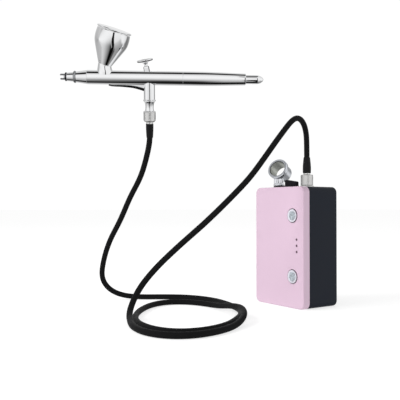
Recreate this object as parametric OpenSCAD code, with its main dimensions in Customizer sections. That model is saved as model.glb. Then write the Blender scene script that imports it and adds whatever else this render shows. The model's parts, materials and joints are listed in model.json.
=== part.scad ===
// Handheld airbrush kit: cordless compressor, swivel holder, air hose, gravity-feed airbrush.
// Millimetres. Origin at the centre of the compressor base, +Z up, the coloured front faces -Y.

/* [Case] */
// width of the compressor case
case_w = 60; // [52:1:70]
// depth of the compressor case, front cover and rear shell together
case_d = 39; // [36:0.5:46]
// height of the compressor case
case_h = 100; // [96:1:110]
// wall thickness of both halves
wall = 2; // [1.6:0.1:2.4]
// corner radius seen from the front
corner_r = 5; // [3:0.5:8]
// depth of the coloured front cover
cover_d = 7; // [6.5:0.1:7.5]

/* [Buttons] */
// diameter of the round buttons
button_d = 11.2; // [9:0.1:12]
// gap between button and cover
button_gap = 0.35; // [0.3:0.05:0.5]
// sideways place of the buttons
button_x = 17; // [14:0.5:18]
// height of the upper button
button_z1 = 76; // [70:0.5:80]
// height of the lower button
button_z2 = 26; // [22:0.5:32]
// sideways place of the lamps
lamp_x = 22; // [21:0.5:24]
// diameter of a lamp
lamp_d = 2; // [1.4:0.1:2.6]

/* [Pump] */
// diameter of the motor can
motor_d = 24; // [20:0.2:24.2]
// tilt of the wobble pin in degrees
wobble = 8; // [4:0.5:9]

/* [Holder] */
// height of the ring centre over the case top
ring_up = 16; // [15.5:0.5:22]
// bore of the holder ring
ring_bore = 13.6; // [12.4:0.1:14]
// wall of the holder ring
ring_wall = 1.1; // [0.9:0.1:1.6]
// swing of the holder in degrees
ring_turn = 21; // [-40:1:40]
// drop of the ring towards its back in degrees
ring_tip = 22; // [0:1:24]

/* [Hose] */
// outer diameter of the hose
hose_d = 4.6; // [4:0.1:4.6]

/* [Airbrush] */
// diameter of the barrel
brush_d = 11.2; // [10.8:0.1:11.6]
// lean of the paint cup in degrees
cup_lean = 17.2; // [10:0.2:20]
// forward lean of the trigger in degrees
trigger_lean = 11; // [8:0.5:12]

/* [Hidden] */
$fn = 64;
e = 0.05;
y_front = -case_d/2;
y_back = case_d/2;
y_seam = y_front + cover_d;
in_w = case_w - 2*wall;
in_h = case_h - 2*wall;
in_r = corner_r - wall;
px = 14;      // pump column
py = 4.3;
ox = 14;      // air outlet on the top
oy = 0;
hx = -17;     // holder post
hy = -4;
zr = case_h + ring_up;
rr = ring_bore/2 + ring_wall;
br = brush_d/2;
hr = hose_d/2;
vx = 70.1;    // air valve along the airbrush
tz = -3.5;    // trigger pivot below the airbrush axis
b_pos = [-70, -185, 186];
b_rot = [17, 0.9, 56];
lamp_z = [56.5, 51.5, 46.5];
screw_xz = [[-25.4, 4.6], [25.4, 4.6], [-25.4, 95.4], [25.4, 95.4]];
wob_z = 58;

// hose route, round numbers
run_a = [[14,0,118.1],[14,0,127],[14.4,-0.5,135],[16.3,-2.6,143.5],[19.2,-7.4,150.5],[22.6,-14.4,154.7],[25.5,-22.3,155.5],[27.5,-30,151.6],
  [28.3,-38.7,143.2],[28.2,-47.8,133.2],[27.5,-57.5,121.5],[25,-70.5,105.5],[19.5,-84.5,90],[9.5,-100,72],[-2,-118,53],[-10,-131.5,38],
  [-13.5,-143.3,24],[-13,-151,12],[-6,-157,5.5],[6.5,-162.5,2.6],[23,-168.5,2.3]];
run_b = [[-74,-69,2.3],[-86,-84,2.3],[-95,-100,2.5],[-103,-113,4],[-108,-124,9.5],[-109,-131,20],[-104,-132,35],[-94,-131,53],[-81,-127,72],
  [-69,-124,91],[-57,-120.5,108],[-48.5,-119.5,124]];

function rx(p,a) = [p[0], p[1]*cos(a)-p[2]*sin(a), p[1]*sin(a)+p[2]*cos(a)];
function ry(p,a) = [p[0]*cos(a)+p[2]*sin(a), p[1], -p[0]*sin(a)+p[2]*cos(a)];
function rz(p,a) = [p[0]*cos(a)-p[1]*sin(a), p[0]*sin(a)+p[1]*cos(a), p[2]];
function on_brush(p) = b_pos + rz(ry(rx(p, b_rot[0]), b_rot[1]), b_rot[2]);
run_b2 = concat(run_b, [on_brush([vx,0,-50]), on_brush([vx,0,-41.2])]);

function unit(a) = a/norm(a);
// smooth curve through the points, k steps a span
function crp(a,b,c,d,t) = 0.5*(2*b + (c-a)*t + (2*a-5*b+4*c-d)*t*t + (3*b-a-3*c+d)*t*t*t);
function smooth(p,k) = let(n=len(p), q=concat([2*p[0]-p[1]], p, [2*p[n-1]-p[n-2]]))
  concat([for (i=[1:n-1], j=[0:k-1]) crp(q[i-1],q[i],q[i+1],q[i+2],j/k)], [p[n-1]]);
function tang(s,i) = unit(s[min(i+1,len(s)-1)] - s[max(i-1,0)]);
// rings of a round tube, ref is a direction the run never follows
function rings(s,r,m,ref) = [for (i=[0:len(s)-1]) let(t=tang(s,i), a=unit(cross(t,ref)), b=cross(t,a))
  for (j=[0:m-1]) s[i] + r*(a*cos(360*j/m) + b*sin(360*j/m))];
module tube(s,r,m,ref) {
  n = len(s);
  polyhedron(rings(s,r,m,ref), concat([[for (j=[0:m-1]) j]],
    [for (i=[0:n-2], j=[0:m-1]) [i*m+j, (i+1)*m+j, (i+1)*m+(j+1)%m]],
    [for (i=[0:n-2], j=[0:m-1]) [i*m+j, (i+1)*m+(j+1)%m, i*m+(j+1)%m]],
    [[for (j=[m-1:-1:0]) (n-1)*m+j]]), convexity=10);
}
// wound spring along z
module spring(r,w,l,turns,steps=14) {
  n = turns*steps;
  s = [for (i=[0:n]) [r*cos(360*i/steps), r*sin(360*i/steps), w + (l-2*w)*i/n]];
  tube(s, w, 6, [0,0,1]);
}

module rrect(w,h,r) {
  square([w-2*r,h], center=true);
  square([w,h-2*r], center=true);
  for (sx=[-1,1], sy=[-1,1]) translate([sx*(w/2-r), sy*(h/2-r)]) circle(r=r);
}
module slab(y0,y1,w,h,r) translate([0,y1,case_h/2]) rotate([90,0,0]) linear_extrude(height=y1-y0) rrect(w,h,r);
module ycyl(x,z,y0,y1,r) translate([x,y1,z]) rotate([90,0,0]) cylinder(r=r, h=y1-y0);
module zcyl(x,y,z0,z1,r) translate([x,y,z0]) cylinder(r=r, h=z1-z0);
module box(a,b) translate(a) cube(b-a);
module turn_z(p) rotate_extrude() polygon(p);
module on_b() translate(b_pos) rotate(b_rot) children();
module turn_x(p) rotate([0,90,0]) rotate_extrude() polygon(p);
module xcyl(x0,x1,r) translate([x0,0,0]) rotate([0,90,0]) cylinder(r=r, h=x1-x0);
module at_cup() translate([32.3,0,0]) rotate([0,cup_lean,0]) children();

// ---- case ----
module rear_shell() color([0.10,0.105,0.12]) difference() {
  union() {
    difference() {
      slab(y_seam, y_back, case_w, case_h, corner_r);
      slab(y_seam-1, y_back-wall, in_w, in_h, in_r);
    }
    for (s=screw_xz) ycyl(s[0], s[1], y_seam+3, y_back-wall+0.5, 2.3);
    box([-22, 4, 79.4], [-6, y_back-wall+0.5, 80.9]);
  }
  for (s=screw_xz) { ycyl(s[0], s[1], y_seam, y_back+1, 1.2); ycyl(s[0], s[1], y_back-1.6, y_back+1, 2.0); }
  zcyl(ox, oy, case_h-wall-1, case_h+1, 3.5);
  zcyl(hx, hy, case_h-wall-1, case_h+1, 1.6);
  translate([-14, y_back+1, 83.85]) rotate([90,0,0]) linear_extrude(height=wall+2) rrect(9.6, 3.8, 1.85);
  for (i=[0:4]) translate([px, y_back+1, 46+4*i]) rotate([90,0,0]) linear_extrude(height=wall+2) rrect(14, 1.6, 0.78);
}
module front_cover() color([0.80,0.62,0.75]) difference() {
  union() {
    difference() {
      slab(y_front, y_seam-e, case_w, case_h, corner_r);
      slab(y_front+wall, y_seam+1, in_w, in_h, in_r);
    }
    // locating lip
    difference() {
      slab(y_front+wall-0.5, y_seam+2, in_w-0.2, in_h-0.2, in_r-0.1);
      slab(y_front+wall-1, y_seam+3, in_w-2.4, in_h-2.4, in_r-1.2);
    }
    for (s=screw_xz) ycyl(s[0], s[1], y_front+1, y_seam+3-0.1, 2.2);
    for (z=[40, 88]) ycyl(7, z, y_front+1, -10.95, 2.3);
  }
  for (s=screw_xz) ycyl(s[0], s[1], y_front+wall+0.6, y_seam+6, 1.05);
  for (z=[40, 88]) ycyl(7, z, y_front+wall+1, -8, 0.85);
  for (z=[button_z1, button_z2]) ycyl(button_x, z, y_front-1, y_front+wall+1, button_d/2+button_gap);
  for (z=lamp_z) ycyl(lamp_x, z, y_front-1, y_front+wall+1, lamp_d/2+e);
}
module button(z) {
  ycyl(button_x, z, y_front-0.4, y_front+wall+0.3, button_d/2);
  ycyl(button_x, z, y_front+wall+0.3, y_front+wall+1, button_d/2+1.1);
  ycyl(button_x, z, y_front+wall+1, y_front+5, 1.5);
}
module power_button() color([0.74,0.76,0.79]) button(button_z1);
module mode_button() color([0.74,0.76,0.79]) button(button_z2);
module lamp_pipes() color([0.40,0.28,0.36]) {
  for (z=lamp_z) ycyl(lamp_x, z, y_front+0.1, -12.6, lamp_d/2);
  box([lamp_x-1.5, -14.6, lamp_z[2]-3], [lamp_x+1.5, -13.4, lamp_z[0]+3]);
}
module case_screws() color([0.30,0.30,0.32]) for (s=screw_xz) {
  ycyl(s[0], s[1], y_back-1.55, y_back-0.15, 1.9);
  ycyl(s[0], s[1], y_seam-3, y_back-1.55, 1.0);
}
module control_board() color([0.05,0.25,0.12]) difference() {
  union() {
    box([4.5, -10.9, 16], [26.4, -9.5, 91.5]);
    box([9, -9.5, 78], [15, -8.6, 84]);
    box([18, -9.5, 80], [22, -8.7, 84]);
    for (z=lamp_z) box([lamp_x-0.9, -11.6, z-0.9], [lamp_x+0.9, -10.9, z+0.9]);
    box([9, -9.5, 86], [17, -5.5, 90.5]);
  }
  for (z=[40, 88]) ycyl(7, z, -12, -8, 1.1);
}
module board_screws() color([0.75,0.75,0.77]) for (z=[40, 88]) {
  ycyl(7, z, -9.45, -8.5, 1.9);
  ycyl(7, z, -15, -9.45, 0.8);
}
module tact_switches() color([0.15,0.15,0.16]) for (z=[button_z1, button_z2]) {
  box([button_x-3, -12.9, z-3], [button_x+3, -10.95, z+3]);
  ycyl(button_x, z, -13.5, -12.9, 1.7);
}
module charge_board() color([0.05,0.25,0.12]) box([-21, 6, 80.95], [-7, y_back-wall-0.1, 82.2]);
module charge_socket() color([0.78,0.78,0.80]) translate([-14, y_back-0.9, 83.85]) rotate([90,0,0]) difference() {
  linear_extrude(height=7.2) rrect(8.9, 3.2, 1.5);
  translate([0,0,-1]) linear_extrude(height=7) difference() { rrect(8.3, 2.6, 1.25); square([6.6,0.7], center=true); }
}
module battery_cell() color([0.18,0.35,0.62]) { zcyl(-13.2, 6, 6.4, 70.9, 9.2); zcyl(-13.2, 6, 70.9, 71.4, 3.2); }
module battery_tabs() color([0.80,0.80,0.78]) { box([-17, 3, 5.85], [-9.4, 9, 6.35]); box([-17, 3, 71.45], [-9.4, 9, 71.95]); }
module battery_cradle() color([0.12,0.12,0.13]) {
  box([-22.8, 15.3, 3.5], [-3.4, y_back-wall-0.1, 74]);
  box([-22.8, -1, 3.5], [-3.4, 15.3, 5.8]);
  box([-22.8, -1, 72], [-3.4, 15.3, 74]);
}

// ---- motor and pump ----
module motor_can() color([0.70,0.71,0.72]) translate([px,py,0]) difference() {
  union() { zcyl(0,0,8,39,motor_d/2); zcyl(0,0,39,41,3); }
  zcyl(0,0,7,37.8,motor_d/2-1);
  zcyl(0,0,37,42,1.3);
}
module motor_end() color([0.90,0.90,0.88]) translate([px,py,0]) difference() {
  union() { zcyl(0,0,5,8,motor_d/2-3.5); zcyl(0,0,8,9.6,motor_d/2-1.1); box([-7,-1.5,3],[-6,1.5,5.2]); box([6,-1.5,3],[7,1.5,5.2]); }
  zcyl(0,0,6,11,1.3);
}
module motor_cushion() color([0.08,0.08,0.08]) translate([px,py,0]) difference() {
  zcyl(0,0,13,31,motor_d/2+1.1);
  zcyl(0,0,12,32,motor_d/2+e);
}
module motor_shaft() color([0.80,0.80,0.82]) translate([px,py,0]) {
  zcyl(0,0,6.6,47.5,1.0);
  zcyl(0,0,13,33,9.2);
  zcyl(0,0,10.3,12.6,3.2);
}
module eccentric_hub() color([0.92,0.92,0.90]) translate([px,py,0]) difference() {
  zcyl(0,0,43,53,4.6);
  zcyl(0,0,42,47.6,1.0+e);
  translate([0,0,wob_z]) rotate([0,wobble,0]) zcyl(0,0,-9.9,0,1.05);
}
module wobble_rocker() color([0.93,0.93,0.90]) translate([px,py,wob_z]) rotate([0,wobble,0]) {
  zcyl(0,0,-9.4,-1,1.0);
  zcyl(0,0,-2.4,1,2.6);
  zcyl(0,0,-0.8,0.8,4.5);
  for (a=[30,150,270]) rotate([0,0,a]) { box([0,-1.8,-0.8],[7,1.8,0.8]); translate([7,0,0]) zcyl(0,0,-0.8,0.8,2.6); }
}
module pump_frame() color([0.20,0.20,0.21]) translate([px,py,0]) difference() {
  translate([0,0,39+e]) linear_extrude(height=62.3-39-e) rrect(25,25,4);
  zcyl(0,0,41,63,10.8);
  zcyl(0,0,38,42,3.1);
  for (sx=[-1,1], sy=[-1,1]) zcyl(sx*10,sy*10,52,63,1.05);
  box([-4,8,44],[4,14,54]);
}
module diaphragm() color([0.10,0.10,0.10]) translate([px,py,0]) difference() {
  union() {
    translate([0,0,62.3]) linear_extrude(height=1.2) rrect(25,25,4);
    for (a=[30,150,270]) rotate([0,0,a]) translate([6.2,0,0]) zcyl(0,0,60.9,62.3,3.4);
  }
  for (a=[30,150,270]) rotate([0,0,a]) translate([6.2,0,0]) zcyl(0,0,61.7,64,2.8);
  for (sx=[-1,1], sy=[-1,1]) zcyl(sx*10,sy*10,62,64,1.2);
}
module valve_plate() color([0.85,0.85,0.82]) translate([px,py,0]) difference() {
  translate([0,0,63.5]) linear_extrude(height=3) rrect(25,25,4);
  for (a=[30,150,270]) rotate([0,0,a]) { translate([4.6,0,0]) zcyl(0,0,63,67,0.9); translate([7.8,0,0]) zcyl(0,0,63,67,0.9); }
  for (sx=[-1,1], sy=[-1,1]) zcyl(sx*10,sy*10,63,67,1.2);
}
module pump_head() color([0.20,0.20,0.21]) difference() {
  union() {
    translate([px,py,66.5]) linear_extrude(height=4.5) rrect(25,25,4);
    zcyl(ox,oy,71,78,1.95);
  }
  translate([px,py,0]) zcyl(0,0,66,69,7.6);
  zcyl(ox,oy,66,79,1.0);
  translate([px,py,0]) for (sx=[-1,1], sy=[-1,1]) zcyl(sx*10,sy*10,66,72,1.2);
}
module pump_screws() color([0.75,0.75,0.77]) translate([px,py,0]) for (sx=[-1,1], sy=[-1,1]) {
  zcyl(sx*10,sy*10,71+e,72.6,2.0);
  zcyl(sx*10,sy*10,53,71+e,1.0);
}
module air_tube() color([0.85,0.87,0.88]) difference() {
  zcyl(ox,oy,71.2,88,3.2);
  zcyl(ox,oy,71,88.2,2.0);
}
module outlet_fitting() color([0.80,0.80,0.80]) translate([ox,oy,0]) difference() {
  turn_z([[0,81],[1.95,81],[1.95,89],[3.4,89],[3.4,case_h+0.1],[5.6,case_h+0.1],[5.6,case_h+1.1],[2.9,case_h+1.1],[2.9,case_h+8],[0,case_h+8]]);
  zcyl(0,0,80,case_h+9,1.1);
}
module outlet_nut() color([0.72,0.60,0.30]) translate([ox,oy,94]) difference() {
  cylinder(r=5.8, h=3.9, $fn=6);
  zcyl(0,0,-1,5,3.45);
}

// ---- holder ----
module holder_base() color([0.07,0.07,0.075]) difference() {
  union() {
    translate([-7.4, hy, case_h+0.05]) linear_extrude(height=1.55) rrect(25.2, 10, 3);
    // block that slopes down towards the outlet
    translate([0, hy+4, case_h]) rotate([90,0,0]) linear_extrude(height=4.6) polygon([[-9.4,1.4],[5,1.4],[5,4.9],[-9.4,7]]);
  }
  zcyl(hx, hy, case_h-1, case_h+5, 1.6);
}
module tipped() translate([0,0,zr]) rotate([-ring_tip,0,0]) children();
module holder_ring() color([0.82,0.83,0.84]) translate([hx,hy,0]) rotate([0,0,ring_turn]) difference() {
  union() {
    zcyl(0,0,case_h+1.9,zr-rr+0.5,4.2);
    zcyl(0,0,case_h+1.9,case_h+3.1,4.9);
    tipped() ycyl(0,0,-3.0,10.2,rr);
    tipped() ycyl(0,0,-3.2,0.9,rr+1.3);
  }
  tipped() ycyl(0,0,-6,12,ring_bore/2);
  zcyl(0,0,case_h,case_h+7.3,1.56);
}
module holder_screw() color([0.60,0.60,0.62]) { zcyl(hx,hy,case_h-wall-3,case_h-wall-e,2.8); zcyl(hx,hy,case_h-wall-e,case_h+5.6,1.5); }

// ---- hose ----
module hose_nut(z0,z1,zb) difference() { zcyl(0,0,z0,z1,5.15); zcyl(0,0,z0-1,zb,2.95); zcyl(0,0,z0-1,z1+1,2.35); }
module hose_nut_pump() color([0.75,0.75,0.74]) translate([ox,oy,0]) hose_nut(case_h+1.3, case_h+10.3, case_h+8.65);
module hose_tail_pump() color([0.86,0.86,0.85]) translate([ox,oy,0]) difference() {
  union() { zcyl(0,0,case_h+8.05,case_h+8.6,2.85); zcyl(0,0,case_h+8.6,case_h+18,2.2); zcyl(0,0,case_h+10.4,case_h+12.2,2.95); }
  zcyl(0,0,case_h+8,case_h+19,1.0);
}
module hose_sleeve_pump() color([0.05,0.05,0.055]) translate([ox,oy,0])
  turn_z([[2.25,112.3],[3.3,112.3],[3.3,117],[3.05,121],[hr+0.4,125],[hr+e,125],[hr+e,118.05],[2.25,118.05]]);
module hose_run_pump() color([0.05,0.05,0.055]) tube(smooth(run_a,2), hr, 10, [-0.83,0.56,0]);
module hose_coil() color([0.05,0.05,0.055]) translate([-4,-109,0]) rotate([0,0,-34]) linear_extrude(height=9.8) difference() {
  polygon([for (a=[0:7.5:352.5]) [88*cos(a), 47.5*sin(a)]]);
  polygon([for (a=[0:7.5:352.5]) [52*cos(a)+5.5, 29*sin(a)-2.5]]);
}
module hose_run_brush() color([0.05,0.05,0.055]) tube(smooth(run_b2,2), hr, 10, [-0.83,0.56,0]);
module hose_sleeve_brush() color([0.05,0.05,0.055]) on_b() translate([vx,0,0])
  turn_z([[2.25,-36.2],[3.05,-36.2],[3.05,-40],[2.9,-44],[hr+0.4,-47.5],[hr+e,-47.5],[hr+e,-41.1],[2.25,-41.1]]);
module hose_tail_brush() color([0.86,0.86,0.85]) on_b() translate([vx,0,0]) difference() {
  union() { zcyl(0,0,-33.8,-33.5,2.8); zcyl(0,0,-41,-33.8,2.2); zcyl(0,0,-36.1,-34.7,2.8); }
  zcyl(0,0,-42,-33,1.0);
}
module hose_nut_brush() color([0.75,0.75,0.74]) on_b() translate([vx,0,0]) difference() {
  union() { zcyl(0,0,-33.4,-26.1,4.9); translate([0,0,-34.6]) cylinder(r1=4.1, r2=4.9, h=1.2); }
  zcyl(0,0,-33.85,-25,2.86);
  zcyl(0,0,-36,-30,2.35);
}

// ---- airbrush, nose at x = 0, tail at +x ----
module brush_barrel() color([0.82,0.83,0.85]) on_b() difference() {
  turn_x([[0,21.4],[br,21.4],[br,96.85],[4.55,96.85],[4.55,102],[0,102]]);
  xcyl(62,103,4.0);
  xcyl(20,63,0.85);
  xcyl(21,27.5,3.2);
  at_cup() zcyl(0,0,0,9,2.2);
  box([65,-2.3,0],[76.5,2.3,8]);
  zcyl(vx,0,-8,0,2.9);
}
module spray_head() color([0.82,0.83,0.85]) on_b() difference() {
  turn_x([[0,12.2],[4.4,12.2],[5.5,21.35],[3.15,21.35],[3.15,27.4],[0,27.4]]);
  xcyl(11,16,1.6);
  xcyl(11,28,0.85);
}
module fluid_nozzle() color([0.80,0.68,0.38]) on_b() turn_x([[0.35,4.5],[0.5,4.5],[1.5,12.2],[1.55,12.2],[1.55,15.9],[0.8,15.9]]);
module air_cap() color([0.82,0.83,0.85]) on_b() turn_x([[0.95,5.3],[3.1,5.3],[3.6,10.2],[4.5,10.2],[4.5,12.15],[1.75,12.15],[1.75,6.6],[0.95,6.6]]);
module needle_cap() color([0.82,0.83,0.85]) on_b() difference() {
  turn_x([[1.7,0],[2.5,0],[2.6,4],[3.45,4],[3.45,5.25],[1.7,5.25]]);
  box([-1,-5,-1.15],[3,5,1.15]);
}
module paint_cup() color([0.82,0.83,0.85]) on_b() difference() {
  union() {
    at_cup() turn_z([[0,9],[5.4,9],[5.4,10.6],[12.6,26],[13.3,29],[13.4,32],[12.9,36.9],[12.2,36.9],[12.6,32],[12.5,29.2],[11.8,26.4],[2.2,12],[0,12]]);
    translate([35.2,0,0]) turn_z([[0,2],[6.3,2],[6.3,5.4],[5.6,7.4],[5.3,9.4],[0,9.4]]);
  }
  at_cup() zcyl(0,0,0,12.5,2.2);
  xcyl(15,60,br+0.03);
}
module cup_lid() color([0.82,0.83,0.85]) on_b() at_cup() difference() {
  turn_z([[0,37.2],[10.4,37.2],[10.4,35.4],[11.6,35.4],[11.6,37.2],[13.6,37.2],[13.6,38],[12.4,38.6],[0,38.6]]);
  translate([0,0,36]) cylinder(r=0.7, h=4);
}
module finger_rest() color([0.82,0.83,0.85]) on_b() difference() {
  translate([0,1.5,0]) rotate([90,0,0]) linear_extrude(height=3)
    polygon([[38,-4],[68,-4],[68,-11.2],[63.7,-9.6],[58,-8.1],[47,-7.1],[41,-6.9],[38,-6.5]]);
  xcyl(30,75,br+0.03);
  zcyl(vx,0,-20,0,4.2);
}
module air_valve() color([0.82,0.83,0.85]) on_b() difference() {
  translate([vx,0,0]) turn_z([[2.45,-3],[4.15,-3],[4.15,-16.4],[4.85,-16.4],[4.85,-18.8],[3.5,-21],[3.5,-25.8],[2.8,-25.8],[2.8,-33.2],[1.2,-33.2],[1.2,-20],[2.45,-20]]);
  xcyl(55,85,br+0.03);
}
module valve_seat() color([0.92,0.92,0.90]) on_b() translate([vx,0,0]) turn_z([[1.2,-12],[2.4,-12],[2.4,-10],[1.2,-10]]);
module valve_plunger() color([0.75,0.65,0.40]) on_b() translate([vx,0,0]) turn_z([[0,-13.4],[2.0,-13.4],[2.0,-12.4],[0.9,-12.4],[0.9,-6],[1.9,-6],[1.9,-5.25],[0,-5.25]]);
module valve_spring() color([0.70,0.70,0.72]) on_b() translate([vx,0,-19.9]) spring(1.8, 0.25, 6.4, 5);
module trigger() color([0.82,0.83,0.85]) on_b() translate([vx,0,tz]) rotate([0,-trigger_lean,0]) difference() {
  union() {
    rotate([90,0,0]) cylinder(r=1.4, h=3, center=true);
    box([-1.2,-1.5,0],[1.2,1.5,3.3]);
    box([-2,-1.8,3.2],[2,1.8,11.6]);
    zcyl(0,0,11.5,16.4,1.5);
    translate([0,0,14.6]) cylinder(r1=1.5, r2=4.6, h=1.9);
    zcyl(0,0,16.4,17.6,6.35);
    translate([0,0,17.6]) cylinder(r1=6.35, r2=5.6, h=0.7);
  }
  box([-5,-1.05,1.7],[5,1.05,8.6]);
}
module needle() color([0.86,0.86,0.88]) on_b() turn_x([[0,1.8],[0.06,1.8],[0.7,18],[0.7,132],[0,132]]);
module needle_chuck() color([0.80,0.80,0.82]) on_b() difference() {
  turn_x([[0,82],[3.2,82],[3.2,83.2],[2.3,83.2],[2.3,104],[3.3,104],[3.3,112],[0,112]]);
  xcyl(81,113,0.75);
}
module rear_lever() color([0.80,0.80,0.82]) on_b() difference() {
  union() { box([72.3,-2.1,-3.0],[73.4,2.1,3.2]); for (s=[-1,1]) translate([73.3,s*1.55,0]) rotate([0,90,0]) cylinder(r=0.5, h=8.65); }
  xcyl(72,83,0.75);
}
module spring_case() color([0.78,0.70,0.45]) on_b() turn_x([[3.45,84.6],[3.9,84.6],[3.9,101.9],[2.5,101.9],[2.5,101],[3.45,101]]);
module needle_spring() color([0.70,0.70,0.72]) on_b() translate([83.25,0,0]) rotate([0,90,0]) spring(2.88, 0.27, 17.7, 7);
module handle() color([0.82,0.83,0.85]) on_b() turn_x([[4.6,96.9],[br,96.9],[br,101],[5.52,110],[5.3,122],[4.98,136],[4.7,146],[2.05,146],[2.05,137.5],[2.6,137.5],[2.6,121],[4.0,121],[4.0,102.2],[4.6,102.2]]);
module tail_screw() color([0.82,0.83,0.85]) on_b() turn_x([[0,138.6],[2.0,138.6],[2.0,146.1],[3.5,146.1],[3.5,155.2],[0.8,160.2],[0,160.2]]);

rear_shell();
front_cover();
power_button();
mode_button();
lamp_pipes();
case_screws();
control_board();
board_screws();
tact_switches();
charge_board();
charge_socket();
battery_cell();
battery_tabs();
battery_cradle();
motor_can();
motor_end();
motor_cushion();
motor_shaft();
eccentric_hub();
wobble_rocker();
pump_frame();
diaphragm();
valve_plate();
pump_head();
pump_screws();
air_tube();
outlet_fitting();
outlet_nut();
holder_base();
holder_ring();
holder_screw();
hose_nut_pump();
hose_tail_pump();
hose_sleeve_pump();
hose_run_pump();
hose_coil();
hose_run_brush();
hose_sleeve_brush();
hose_tail_brush();
hose_nut_brush();
brush_barrel();
spray_head();
fluid_nozzle();
air_cap();
needle_cap();
paint_cup();
cup_lid();
finger_rest();
air_valve();
valve_seat();
valve_plunger();
valve_spring();
trigger();
needle();
needle_chuck();
rear_lever();
spring_case();
needle_spring();
handle();
tail_screw();
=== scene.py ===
"""Looks of the airbrush compressor kit: case, holder, air hose and airbrush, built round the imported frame."""
import json
import math

import bmesh
import bpy
import numpy as np
from mathutils import Matrix, Vector

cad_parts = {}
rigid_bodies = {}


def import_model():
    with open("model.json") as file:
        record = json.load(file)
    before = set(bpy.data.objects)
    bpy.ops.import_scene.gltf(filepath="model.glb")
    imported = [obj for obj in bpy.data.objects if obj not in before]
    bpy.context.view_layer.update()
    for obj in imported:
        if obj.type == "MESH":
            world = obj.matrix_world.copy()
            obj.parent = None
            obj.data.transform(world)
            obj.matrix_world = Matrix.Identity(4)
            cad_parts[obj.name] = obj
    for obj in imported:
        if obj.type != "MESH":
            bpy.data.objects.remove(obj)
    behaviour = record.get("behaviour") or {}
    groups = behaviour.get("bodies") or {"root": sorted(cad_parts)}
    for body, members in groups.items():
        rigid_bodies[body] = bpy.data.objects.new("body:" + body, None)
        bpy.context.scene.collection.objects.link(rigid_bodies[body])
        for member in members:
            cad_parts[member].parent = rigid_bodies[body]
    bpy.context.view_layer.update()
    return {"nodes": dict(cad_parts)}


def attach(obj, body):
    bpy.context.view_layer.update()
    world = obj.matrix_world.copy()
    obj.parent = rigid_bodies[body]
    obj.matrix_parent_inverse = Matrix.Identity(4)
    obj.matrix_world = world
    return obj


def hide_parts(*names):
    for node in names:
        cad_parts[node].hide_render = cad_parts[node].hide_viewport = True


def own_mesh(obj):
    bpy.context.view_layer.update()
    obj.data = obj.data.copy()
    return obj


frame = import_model()
scene = bpy.context.scene
MM = 0.001
rad = math.radians

# ------------------------------------------------------------------ camera
YAW, PITCH = rad(56), rad(-0.764)
right = Vector((math.cos(YAW), math.sin(YAW), 0))
ahead = Vector((-math.sin(YAW), math.cos(YAW), 0))
zed = Vector((0, 0, 1))
fwd = ahead * math.cos(PITCH) - zed * math.sin(PITCH)
top = ahead * math.sin(PITCH) + zed * math.cos(PITCH)
cam = bpy.data.objects.new("camera", bpy.data.cameras.new("camera"))
scene.collection.objects.link(cam)
m = Matrix.Identity(4)
for i in range(3):
    m[i][0], m[i][1], m[i][2] = right[i], top[i], -fwd[i]
m.translation = Vector((383.19, -357.83, 82.3)) * MM
cam.matrix_world = m
cam.data.lens, cam.data.sensor_width = 54.0, 36.0
cam.data.clip_start, cam.data.clip_end = 0.01, 100
scene.camera = cam
scene.view_settings.view_transform = "Standard"
scene.view_settings.look = "None"

# local frames, all in metres
BRUSH = (Matrix.Translation(Vector((-70, -185, 186)) * MM) @ Matrix.Rotation(rad(56), 4, "Z")
         @ Matrix.Rotation(rad(0.9), 4, "Y") @ Matrix.Rotation(rad(17), 4, "X"))
CUP = BRUSH @ Matrix.Translation((32.3 * MM, 0, 0)) @ Matrix.Rotation(rad(17.2), 4, "Y")
VALVE = BRUSH @ Matrix.Translation((70.1 * MM, 0, 0))
TRIGGER = BRUSH @ Matrix.Translation((70.1 * MM, 0, -3.5 * MM)) @ Matrix.Rotation(rad(-11), 4, "Y")
RING = Matrix.Translation((-17 * MM, -4 * MM, 0)) @ Matrix.Rotation(rad(21), 4, "Z")
OUTLET = Matrix.Translation((14 * MM, 0, 0))
HERE = Matrix.Identity(4)


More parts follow.
